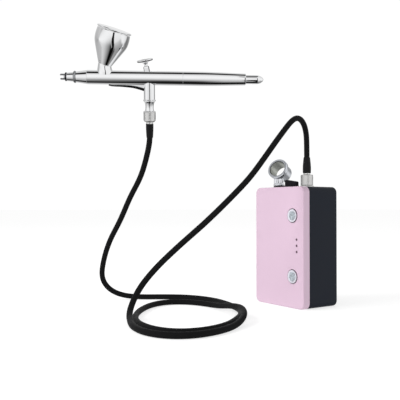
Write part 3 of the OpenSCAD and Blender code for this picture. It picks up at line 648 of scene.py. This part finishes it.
def slot_cutter(x, z, w, h, r, flare):
    steps = [(17.0, 0), (19.5 - flare, 0), (19.52, -flare), (21, -flare)]
    loops = [[(a + x, y, b + z) for a, b in round_rect(w - 2 * d, h - 2 * d, r - d, 8)] for y, d in steps]
    return loft("c", loops, SHELL)


cut(shell, slot_cutter(-14, 83.85, 9.6, 3.8, 1.85, 0.3))
for i in range(5):
    cut(shell, slot_cutter(14, 46 + 4 * i, 14, 1.6, 0.78, 0.22))
show(shell, "compressor", ["rear_shell"], 38)

# buttons: dished disc inside a rim with a painted highlight, a painted gap shadow round its outer edge, and the collar
# and stem that press the switch
for name, z in (("power_button", 76), ("mode_button", 26)):
    at = Matrix.Translation((17 * MM, FRONT * MM, z * MM))
    dish = spline([(0, 0.02), (1.6, 0.05), (3.2, 0.15), (4.55, 0.33)], 6)
    ob = lathe(name + "_cap", [*dish, (4.72, 0.36), (4.95, 0.42, 0.08), (5.3, 0.42, 0.12), (5.6, 0.1, 0.1), (5.6, -2.3), (6.7, -2.3, 0.2), (6.7, -3.0, 0.2), (1.5, -3.0), (1.5, -5.0, 0.3), (0, -5.0)],
               BUTTON[z], at, "y", 112, False)
    # the outer dish and rim take the painted highlight
    ob.data.materials.append(BUTTON_RIM_HIGHLIGHT)
    # the outer chamfer and wall take the painted gap shadow
    ob.data.materials.append(BUTTON_GAP_SHADE)
    for f in ob.data.polygons:
        c = f.center / MM
        if math.hypot(c.x, c.z) > 3.9 and -c.y > -1.2:
            f.material_index = 2 if math.hypot(c.x, c.z) > 5.3 else 1
    show(ob, name, [name], 26)

lamps = None
for z in (56.5, 51.5, 46.5):
    at = Matrix.Translation((22 * MM, 0, z * MM))
    one = lathe("lamp_lenses", [(0, 19.52), (0.35, 19.505), (0.68, 19.45), (0.9, 19.36), (1.0, 19.22), (1.0, 12.6), (0, 12.6)], LAMP, at, "y", 40, False)
    one.data.transform(at)
    one.matrix_world = HERE
    lamps = one if lamps is None else combine(lamps, [one])
bar = plate("bar", 3.0, 16.0, 0.5, [(-14.6, 0.15), (-14.45, 0), (-13.55, 0), (-13.4, 0.15)], LAMP, Matrix.Translation((22 * MM, 0, 51.5 * MM)), "xz", 4)
combine(lamps, [bar])
show(lamps, "compressor", ["lamp_pipes"])

screws = None
for x, z in ((-25.4, 4.6), (25.4, 4.6), (-25.4, 95.4), (25.4, 95.4)):
    at = Matrix.Translation((x * MM, 0, z * MM)) @ Matrix.Rotation(math.pi, 4, "Z")
    one = lathe("case_screws_cross", [(0, 19.3), (0.9, 19.27), (1.55, 19.1), (1.9, 18.75, 0.12), (1.9, 17.95), (1.0, 17.95), (1.0, -15.5), (0, -15.5)], SCREW, at, "y", 48, False)
    for w, h in ((0.5, 2.3), (2.3, 0.5)):
        cut(one, loft("c", [[(a, y, b) for a, b in round_rect(w + g, h + g, 0.12, 3)] for y, g in ((-20, 0.3), (-19.0, 0.0), (-18.35, -0.2))], SCREW, at))
    one.data.transform(at)
    one.matrix_world = HERE
    screws = one if screws is None else combine(screws, [one])
show(screws, "compressor", ["case_screws"])

# ------------------------------------------------------------------ outlet and holder
show(lathe("outlet_fitting_body", [(1.1, 81), (1.95, 81, 0.2), (1.95, 89), (3.4, 89), (3.4, 100.1), (5.6, 100.1, 0.2), (5.6, 101.1, 0.3), (2.9, 101.1), (2.9, 108, 0.3), (1.1, 108)], SATIN, OUTLET),
     "compressor", ["outlet_fitting"])

base = plate("holder_base_block", 25.2, 10, 3, soft_block(100.05, 101.6, 0.15, 0.45), HOLDER_BLACK, Matrix.Translation((-7.4 * MM, -4 * MM, 0)), n=8)
# the block slopes down towards the outlet
wedge = []
for t, d in [(0.0, 0.0), (0.72, 0.0), (0.82, 0.06), (0.91, 0.24), (0.97, 0.5), (1.0, 0.8)]:
    wedge.append([(a - 2.2, b - 2.3, 101.4 + t * (5.6 - 2.1 * (a + 7.2) / 14.4)) for a, b in round_rect(14.4 - 2 * d, 4.6 - 2 * d, 1.7 - d, 8)])
combine(base, [loft("wedge", wedge, HOLDER_BLACK)])
cut(base, rod("c", 1.6, 99, 104, HOLDER_BLACK, "z", 40, Matrix.Translation((-17 * MM, -4 * MM, 0))))
show(base, "compressor", ["holder_base"], 40)

AXLE = RING @ Matrix.Translation((0, 0, 116 * MM)) @ Matrix.Rotation(rad(-22), 4, "X")
ring = lathe("holder_ring_clip", [(6.8, 2.55), (7.15, 2.55), (7.15, 3.12), (7.25, 3.2, 0.05), (8.6, 3.2, 0.35), (9.2, 2.6, 0.35), (9.2, 0.0, 0.4), (8.7, -0.7, 0.1), (7.4, -0.9), (7.4, -1.9), (7.9, -2.0, 0.1), (7.9, -10.2, 0.45), (6.95, -10.2, 0.1), (6.8, -9.95)],
             HOLDER_METAL, AXLE, "y", 128)


def ribs(q, r, s):
    if r < 4.0 or not 103.5 < s < 108.6:
        return r
    edge = min(1.0, min(s - 103.5, 108.6 - s) / 0.5)
    return r - 0.42 * edge * (0.5 - 0.5 * math.cos(16 * q)) ** 0.7


lug = lathe("lug", [(0, 107.3), (1.56, 107.3), (1.56, 101.9), (4.6, 101.9, 0.2), (4.9, 102.2, 0.2), (4.9, 102.9, 0.2), (4.3, 103.3)] + rows(4.3, 103.5, 108.6, 0.35) + [(4.3, 109.4), (3.6, 109.8), (0, 109.8)],
            HOLDER_METAL, RING, seg=160, closed=False, rim=ribs)
cut(lug, rod("c", 7.35, -8, 14, HOLDER_METAL, "y", 112, AXLE @ Matrix.Rotation(math.pi, 4, "Z")))
combine(ring, [lug])
# painted shade inside the bore
ring.data.materials.append(HOLDER_BORE_SHADE)
# painted shade in the groove and on the lip at the mouth
ring.data.materials.append(HOLDER_GROOVE_SHADE)
# painted light on the post
ring.data.materials.append(HOLDER_POST_LIGHT)
for f in ring.data.polygons:
    c = f.center / MM
    r, a = math.hypot(c.x, c.z), -c.y
    f.material_index = 1 if r < 6.85 and a < 2.54 else 2 if (r < 7.16 and 2.5 < a < 3.14) or (7.38 < r < 8.6 and -2.05 < a < -0.75) else 3 if r > 9.25 else 0
show(ring, "brush_holder", ["holder_ring"], 34)

# ------------------------------------------------------------------ airbrush
brush_rod = lambda r, a, b: rod("c", r, a, b, CHROME, "x", 160, BRUSH)

barrel = lathe("brush_barrel_tube", [(3.2, 21.4), (5.6, 21.4, 0.16), (5.6, 96.85, 0.16), (4.55, 96.85), (4.55, 102), (4.0, 102), (4.0, 62), (0.85, 62), (0.85, 27.5), (3.2, 27.5)], CHROME, BRUSH, "x", 160)
cut(barrel, rod("c", 2.2, 0, 9, CHROME, "z", 48, CUP))
slot_loops = [[(a + 70.75, b, s) for a, b in round_rect(11.5 + 2 * d, 4.6 + 2 * d, 2.2 + d, 10)] for s, d in ((-2, 0), (5.0, 0), (5.9, 0.35), (8, 0.35))]
cut(barrel, loft("c", slot_loops, CHROME, BRUSH), rod("c", 2.9, -8, 0, CHROME, "z", 64, VALVE))
show(barrel, "airbrush", ["brush_barrel"], 30)

show(lathe("spray_head_cone", [(1.6, 12.45), (4.0, 12.45, 0.1), (4.28, 12.7, 0.2), (5.5, 21.2, 0.15), (5.42, 21.35), (3.15, 21.35), (3.15, 27.4), (0.85, 27.4), (0.85, 16), (1.6, 16)], CHROME, BRUSH, "x", 144),
     "airbrush", ["spray_head"])
acap = lathe("air_cap_ring", [(0.95, 5.3), (3.15, 5.3, 0.1), (3.3, 5.6, 0.1), (3.78, 10.35), *[(3.75 + 1.05 * math.sin(rad(q)), 11.4 - 1.0 * math.cos(rad(q))) for q in range(0, 181, 15)], (1.75, 12.4), (1.75, 6.6), (0.95, 6.6)], CHROME, BRUSH, "x", 128)
acap.data.materials.append(AIR_CAP_BEAD_SHADE)
# painted shade on the rounded front bead
for f in acap.data.polygons:
    c = f.center / MM
    f.material_index = 1 if math.hypot(c.y, c.z) > 3.8 and c.x > 10.3 else 0
show(acap, "airbrush", ["air_cap"])
# the needle cap wears the darker copy of the chrome: painted shade
ncap = lathe("needle_cap_crown", [(1.7, 0.1), (1.85, 0, 0.08), (2.25, 0, 0.12), (2.5, 0.3, 0.2), (2.6, 3.9, 0.1), (3.35, 3.95, 0.05), (3.5, 4.1, 0.06), (3.24, 5.15, 0.06), (3.1, 5.25), (1.7, 5.25)], CHROME_SHADED_COPY, BRUSH, "x", 112)
ncap.data.materials.append(SHADE_RING)
crown = [[(s, a, b) for a, b in round_rect(12, 2.3, 0.4, 6)] for s in (-1.0, 2.6)] + [[(s, a, b) for a, b in round_rect(12, 2.3 - 2 * d, 0.4, 6)] for s, d in ((2.85, 0.2), (3.0, 0.6))]
cut(ncap, loft("c", crown, CHROME, BRUSH))
# painted shade on the crown ring
for f in ncap.data.polygons:
    c = f.center / MM
    f.material_index = 1 if math.hypot(c.y, c.z) > 2.75 and 3.8 < c.x < 5.3 else 0
show(ncap, "airbrush", ["needle_cap"])

swell = spline([(5.6, 97.2), (5.6, 104), (5.6, 110), (5.52, 116), (5.38, 122), (5.2, 128), (4.97, 134.5), (4.74, 141), (4.6, 145.8)], 6)
grip, rc = [], 5.6
for (r, a), (_, b) in zip(swell, swell[1:]):
    rc = r if rc - r > 0.008 else rc
    grip += [(rc, a), (rc, b - 0.002)]
show(lathe("handle_sleeve", [(4.6, 96.9), (5.45, 96.9), (5.6, 97.05, 0.08), *grip, (4.6, 145.9), (4.5, 146), (2.05, 146), (2.05, 137.5), (2.6, 137.5), (2.6, 121), (4.0, 121), (4.0, 102.2), (4.6, 102.2)], CHROME, BRUSH, "x", 144),
     "airbrush", ["handle"])
show(lathe("tail_screw_knob", [(0, 138.6), (2.0, 138.6), (2.0, 146.1), (3.35, 146.1, 0.08), (3.5, 146.3, 0.12), *spline([(3.5, 154.9), (3.36, 156.0), (2.92, 157.3), (2.2, 158.6), (1.25, 159.7), (0, 160.2)], 5)], CHROME, BRUSH, "x", 112, False),
     "airbrush", ["tail_screw"])

cup_wall = spline([(11.4, 23.3), (12.25, 25.3), (12.85, 27.1), (13.2, 28.9), (13.37, 31.0), (13.36, 33.2), (13.2, 35.2), (13.02, 36.6)], 5)
cup = lathe("paint_cup_bowl", [(2.2, 10.1), (5.15, 10.1), (5.15, 10.4), (5.5, 10.6), (5.75, 11.2), *cup_wall, (12.8, 36.9), (12.3, 36.9, 0.1), (12.6, 32), (12.5, 29.2, 2), (11.8, 26.4, 3), (2.2, 12)], CHROME, CUP, "z", 160)
# the seat under the bowl stands square on the barrel at its foot and leans into the bowl at its top
seat = []
for t, r in spline([(0.0, 6.25), (0.3, 6.2), (0.52, 6.0), (0.7, 5.72), (0.85, 5.52), (1.0, 5.42)], 5):
    lean = t * t * (3 - 2 * t)
    tip = rad(17.2) * lean
    cx, cz = 35.5 + (32.3 + 10.12 * math.sin(rad(17.2)) - 35.5) * lean, 2.6 + (10.12 * math.cos(rad(17.2)) - 2.6) * t
    seat.append([(cx + r * math.cos(q) * math.cos(tip), r * math.sin(q), cz - r * math.cos(q) * math.sin(tip)) for q in [2 * math.pi * j / 128 for j in range(128)]])
combine(cup, [loft("seat", seat, CHROME, BRUSH)])
cut(cup, rod("c", 2.2, 0, 12.5, CHROME, "z", 64, CUP), brush_rod(5.62, 10, 60))
show(cup, "airbrush", ["paint_cup"], 24)
dome = [(13.3, 38.5)] + spline([(12.7, 38.75), (10.5, 39.0), (7.5, 39.2), (4, 39.32), (0.95, 39.36)], 5) + [(0.72, 39.28)]
show(lathe("cup_lid_cap", [(0.7, 37.2), (10.4, 37.2), (10.4, 35.4), (11.6, 35.4, 0.2), (11.6, 37.2), (12.95, 37.2), (13.55, 37.75, 0.1), (13.6, 38.1, 0.1), *dome], CHROME, CUP, "z", 144), "cup_lid", ["cup_lid"], 28)

# finger rest: a fin that sweeps down to the air valve
low = spline([(38.0, -6.3), (41, -6.9), (47, -7.15), (53, -7.55), (58, -8.2), (63.5, -9.6), (68, -11.2)], 6)
sheets = []
for y, bevel in ((-1, 1), (-1, 0), (1, 0), (1, 1)):
    drop = lambda x: 1.1 + 1.5 * (x - 38) / 30
    wide = lambda x: y * (1.5 if bevel else 1.5 - 0.5 * drop(x))
    start = 38.0 + 0.4 * bevel
    sheets.append([(start, wide(start), -4.0)] + [(max(x, start), wide(x), min(z + bevel * drop(x), -4.6)) for x, z in low] + [(68, wide(68), -4.0)])
fin = loft("finger_rest_fin", sheets, CHROME, BRUSH)
cut(fin, brush_rod(5.62, 30, 75), rod("c", 4.2, -20, 0, CHROME, "z", 96, VALVE))
# faces turned downwards take painted shade
fin.data.materials.append(CHROME_SHADE_OUTLINE)
for f in fin.data.polygons:
    f.material_index = len(fin.data.materials) - 1 if f.normal.z < -0.3 else 0
show(fin, "airbrush", ["finger_rest"], 20)

valve = lathe("air_valve_body", [(2.45, -3), (4.5, -3), (4.5, -16.7, 0.1), (4.7, -16.9, 0.1), (5.0, -17.2, 0.2), (5.0, -18.0, 0.25), (4.5, -18.35, 0.15), *spline([(4.3, -18.6), (3.8, -19.7), (3.45, -21.1), (3.3, -22.4), (3.32, -23.7), (3.48, -25.0), (3.58, -25.6)], 5), (3.45, -25.8), (2.8, -25.8), (2.8, -33.2), (1.2, -33.2), (1.2, -20), (2.45, -20)],
              CHROME, VALVE, "z", 128)
cut(valve, brush_rod(5.62, 55, 85))
show(valve, "airbrush", ["air_valve"], 28)

# trigger: dished finger pad on a waisted post
pad = spline([(0, 17.35), (1.6, 17.4), (3.2, 17.58), (4.5, 17.88), (5.15, 18.15)], 5)
lip = [(5.4 + 0.95 * math.cos(rad(q)), 17.35 + 0.95 * math.sin(rad(q))) for q in range(95, -96, -10)]
under = spline([(5.0, 16.38), (4.1, 16.2), (3.1, 15.9), (2.2, 15.4), (1.6, 14.8), (1.32, 14.1), (1.3, 13.2)], 5)
trig = lathe("trigger_lever", [*pad, *lip, *under, (1.3, 11.0), (0, 11.0)], CHROME, TRIGGER, "z", 112, False)
stem = loft("stem", [[(a, b, s) for a, b in round_rect(w, d, 0.5, 6)] for s, w, d in ((3.2, 3.4, 3.0), (3.5, 3.9, 3.6), (8.6, 4.4, 3.6), (11.6, 4.4, 3.6), (12.3, 4.2, 3.4), (12.75, 3.6, 2.9), (13.0, 2.6, 2.2))], CHROME, TRIGGER)
foot = loft("foot", [[(a, b, s) for a, b in round_rect(w, d, 0.4, 6)] for s, w, d in ((-0.2, 2.2, 2.9), (3.5, 2.4, 3.0))], CHROME, TRIGGER)
pin = rod("pin", 1.4, -1.5, 1.5, CHROME, "y", 48, TRIGGER)
combine(trig, [stem])
cut(trig, loft("c", [[(x, y, z) for y, z in ((-1.05, 1.7), (1.05, 1.7), (1.05, 8.6), (-1.05, 8.6))] for x in (-5, 5)], CHROME, TRIGGER))
combine(trig, [foot, pin])
# the pad's outer lip and the stem's sides take painted shade as dark outlines
trig.data.materials.append(CHROME_SHADE_OUTLINE)
for f in trig.data.polygons:
    c = f.center / MM
    f.material_index = 1 if (math.hypot(c.x, c.y) > 5.6 and 16.0 < c.z < 17.3) or (c.z < 12.9 and abs(c.x) > 1.5) else 0
show(trig, "trigger", ["trigger"], 34)

# springs of the trigger's press and pull, built as coils of wire
for name, joint, turns, r, w, long, stroke, place in (("valve_spring", "trigger_press", 5, 1.8, 0.25, 6.4, 2.5, lambda a, b, t: (70.1 + a, b, t - 19.9)),
                                                      ("needle_spring", "trigger_pull", 7, 2.88, 0.27, 17.7, 4.0, lambda a, b, t: (83.25 + t, b, -a))):
    k = turns * 36
    wire = [place(r * math.cos(2 * math.pi * i / 36), r * math.sin(2 * math.pi * i / 36), w + (long - 2 * w) * i / k) for i in range(k + 1)]
    ob = tube(name + "_coil", np.array([tuple(c / MM for c in (BRUSH @ (Vector(q) * MM))) for q in wire]), w, 10, SPRING)
    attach(ob, "airbrush")
    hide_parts(name)
    still, free = (0.0, long) if joint == "trigger_press" else (long, 0.0)
    foot, head = (BRUSH @ (Vector(place(0, 0, t)) * MM) for t in (still, free))
    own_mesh(ob)

# ------------------------------------------------------------------ CAD pieces that stay
stay = {
    "control_board": BOARD, "board_screws": SCREW, "tact_switches": SWITCH, "charge_board": BOARD, "charge_socket": SOCKET, "battery_cell": CELL,
    "battery_tabs": TAB, "battery_cradle": INNER_BLACK, "motor_can": MOTOR, "motor_end": INNER_WHITE, "motor_cushion": CUSHION, "motor_shaft": ARMATURE,
    "eccentric_hub": INNER_WHITE, "wobble_rocker": INNER_WHITE, "pump_frame": INNER_BLACK, "diaphragm": DIAPHRAGM, "valve_plate": INNER_WHITE,
    "pump_head": INNER_BLACK, "pump_screws": SCREW, "air_tube": SILICONE, "outlet_nut": BRASS, "holder_screw": SCREW, "fluid_nozzle": BRASS,
    "valve_seat": PTFE, "valve_plunger": BRASS, "needle": CHROME, "needle_chuck": CHROME, "rear_lever": CHROME,
    "spring_case": BRASS,
}
for n, mat in stay.items():
    ob = frame["nodes"][n]
    if not ob.material_slots:
        ob.data.materials.append(mat)
    for s in ob.material_slots:
        s.material = mat

# ------------------------------------------------------------------ studio
floor = make("floor", [(-30, -30, -0.0002), (30, -30, -0.0002), (30, 30, -0.0002), (-30, 30, -0.0002)], [(0, 1, 2, 3)], None or SHELL)
fm = bpy.data.materials.new("floor_pale")
fm.use_nodes = True
g = Nodes(fm.node_tree)
fp = fm.node_tree.nodes["Principled BSDF"].inputs
fp["Base Color"].default_value = (0.42, 0.42, 0.42, 1)
fp["Roughness"].default_value = 0.9
fp["Specular IOR Level"].default_value = 0.0
fp["Emission Color"].default_value = (1, 1, 1, 1)
fp["Emission Strength"].default_value = 0.70
floor.data.materials.clear()
floor.data.materials.append(fm)
floor.visible_glossy = False

world = bpy.data.worlds.new("studio")
scene.world = world
world.use_nodes = True
g = Nodes(world.node_tree)
for n in list(world.node_tree.nodes):
    world.node_tree.nodes.remove(n)
d = g.new("TexCoord").outputs["Generated"]
near = -ahead
dr, dw = g.dot(d, right), g.dot(d, near)
dz = g.dot(d, zed)
turn = g.math("MULTIPLY_ADD", g.math("ARCTAN2", dz, dw), 1 / (2 * math.pi), 0.5)
A = lambda deg: (deg + 180) / 360
alpha = g.math("MULTIPLY_ADD", turn, 360.0, -180.0)
# towards the left the dark strip of the ceiling comes lower
lower = g.math("MULTIPLY", g.math("MINIMUM", g.math("MAXIMUM", g.math("SUBTRACT", -0.03, dr), 0.0), 0.42), 60.0 / 360)
turn_a = g.math("MULTIPLY_ADD", lower, g.span(alpha, 20, 40), turn)
tent_a = g.ramp(turn_a, [(A(v), k) for v, k in ((-180, 0.74), (-140, 0.62), (-124, 0.42), (-110, 0.10), (-103, 0.012), (-74, 0.008), (-68, 0.025), (-62, 0.05), (-56, 0.12), (-50, 0.215), (-43, 0.34), (-37, 0.46), (-30, 0.60), (-23, 0.73),
                (-15, 0.85), (-6, 0.925), (4, 0.97), (18, 0.97), (30, 0.92), (44, 0.82), (54, 0.66), (60, 0.42), (63, 0.15), (65, 0.006), (90, 0.006), (94, 0.2), (101, 0.5), (110, 0.68), (122, 0.78), (140, 0.84), (180, 0.84))])
tent_b = g.ramp(turn, [(A(v), k) for v, k in ((-180, 0.74), (-140, 0.62), (-122, 0.40), (-112, 0.10), (-106, 0.01), (-88, 0.008), (-83, 0.07), (-77, 0.20), (-70, 0.29), (-60, 0.38), (-50, 0.47), (-40, 0.57), (-31, 0.67),
                (-22, 0.77), (-12, 0.87), (-4, 0.94), (4, 0.97), (20, 0.97), (34, 0.92), (46, 0.82), (56, 0.66), (63, 0.42), (66.5, 0.15), (69, 0.008), (90, 0.008), (94, 0.2), (101, 0.5), (110, 0.68), (124, 0.79), (140, 0.84), (180, 0.84))])
tent = g.math("MULTIPLY_ADD", g.math("SUBTRACT", tent_b, tent_a), g.span(dr, -0.022, 0.032), tent_a)
left_side = g.ramp(turn, [(A(v), k) for v, k in ((-180, 0.38), (-160, 0.42), (-140, 0.48), (-112, 0.58), (-90, 0.69), (-70, 0.78), (-45, 0.92), (-20, 0.98), (8, 0.92), (30, 0.80), (60, 0.65), (85, 0.58), (115, 0.54), (140, 0.50), (160, 0.44), (180, 0.38))])
right_side = g.ramp(turn, [(A(-180), 0.20), (A(-158), 0.17), (A(-142), 0.33), (A(-112), 0.30), (A(-82), 0.40), (A(-66), 0.48), (A(-52), 0.60), (A(-40), 0.84), (A(-20), 0.90), (A(40), 0.92), (A(80), 0.82), (A(120), 0.70), (A(150), 0.42), (A(180), 0.22)])
across = g.math("MULTIPLY_ADD", dr, 0.5, 0.5)
X = lambda v: (v + 1) / 2
share_wide = g.ramp(across, [(X(-1), 0.97), (X(-0.85), 0.95), (X(-0.65), 0.78), (X(-0.45), 0.51), (X(-0.25), 0.28), (X(-0.19), 0.22), (X(-0.14), 0.12), (X(-0.08), 0.0), (X(0.2), 0.0), (X(0.28), 0.15), (X(0.36), 0.9), (X(1), 1.0)])
share_slim = g.ramp(across, [(X(-1), 0.95), (X(-0.8), 0.60), (X(-0.65), 0.25), (X(-0.5), 0.0), (X(0.2), 0.0), (X(0.28), 0.15), (X(0.36), 0.9), (X(1), 1.0)])
slim = g.math("MAXIMUM", g.span(alpha, -86, -76, 1.0, 0.0), g.math("MULTIPLY", g.span(alpha, 34, 46), g.span(alpha, 98, 106, 1.0, 0.0)))
share = g.math("MULTIPLY_ADD", g.math("SUBTRACT", share_slim, share_wide), slim, share_wide)
which = g.math("GREATER_THAN", dr, 0.05)
side = g.math("ADD", g.math("MULTIPLY", left_side, g.math("SUBTRACT", 1.0, which)), g.math("MULTIPLY", right_side, which))
tone = g.math("MULTIPLY_ADD", g.math("SUBTRACT", side, tent), share, tent)
slit_start = g.math("SUBTRACT", g.math("ADD", dr, 0.5), g.ramp(turn, [(A(-180), 0.45), (A(-76), 0.45), (A(-66), 0.575), (A(-48), 0.575), (A(-45), 0.562), (A(-24), 0.562), (A(-12), 0.62), (A(180), 0.62)]))
slit_end = g.math("SUBTRACT", dr, g.math("SUBTRACT", g.span(alpha, -84, -54, 0.18, 0.345, False), g.span(alpha, -45, -15, 0.0, 0.04, False)))
slit = g.math("MULTIPLY", g.span(slit_start, -0.003, 0.004), g.span(slit_end, -0.02, 0.02, 1.0, 0.0))
slit = g.math("MULTIPLY", slit, g.math("MULTIPLY", g.span(alpha, -98, -84), g.span(alpha, 20, 32, 1.0, 0.0)))
line = g.math("MULTIPLY", g.math("MULTIPLY", g.span(dr, 0.068, 0.073), g.span(dr, 0.13, 0.15, 1.0, 0.0)), g.math("MULTIPLY", g.span(alpha, 26, 32), g.span(alpha, 40, 48, 1.0, 0.0)))
slit = g.math("MAXIMUM", slit, g.math("MULTIPLY", line, 0.85))
far = g.math("MULTIPLY", g.span(dr, 0.84, 0.93), g.span(dw, -0.5, 0.1, 0.75, 1.0))
tone = g.math("MULTIPLY", tone, g.math("MULTIPLY_ADD", slit, -0.985, 1.0))
tone = g.math("MULTIPLY_ADD", g.math("SUBTRACT", 0.93, tone), far, tone)
path = g.new("LightPath")
shiny = g.new("Background")
g.put(tone, shiny.inputs["Color"])
shiny.inputs["Strength"].default_value = 1.0
soft = g.new("Background")
soft.inputs["Color"].default_value = (1, 1, 1, 1)
soft.inputs["Strength"].default_value = 0.66
seen = g.new("Background")
seen.inputs["Color"].default_value = (1, 1, 1, 1)
seen.inputs["Strength"].default_value = 1.02
mix1, mix2 = g.new("MixShader"), g.new("MixShader")
g.put(path.outputs["Is Glossy Ray"], mix1.inputs[0])
g.put(soft.outputs[0], mix1.inputs[1])
g.put(shiny.outputs[0], mix1.inputs[2])
g.put(path.outputs["Is Camera Ray"], mix2.inputs[0])
g.put(mix1.outputs[0], mix2.inputs[1])
g.put(seen.outputs[0], mix2.inputs[2])
out = g.new("OutputWorld")
g.put(mix2.outputs[0], out.inputs["Surface"])


def softbox(name, place, target, size, watts):
    li = bpy.data.lights.new(name, "AREA")
    li.shape, li.size, li.size_y, li.energy = "RECTANGLE", size[0], size[1], watts
    ob = bpy.data.objects.new(name, li)
    scene.collection.objects.link(ob)
    ob.location = place
    ob.rotation_mode = "QUATERNION"
    ob.rotation_quaternion = (Vector(target) - Vector(place)).to_track_quat("-Z", "Y")
    ob.visible_glossy = False
    return ob


# the plate mirrors the tent, not its neighbours
for n in ("front_cover_skin", "rear_shell_skin", "air_hose", "paint_cup_bowl", "cup_lid_cap", "trigger_lever", "hose_nut_brush_knurled", "hose_sleeve_brush_boot"):
    bpy.data.objects[n].visible_glossy = False

softbox("key", (-0.35, -1.5, 0.9), (0, 0, 0.06), (0.9, 0.9), 19)
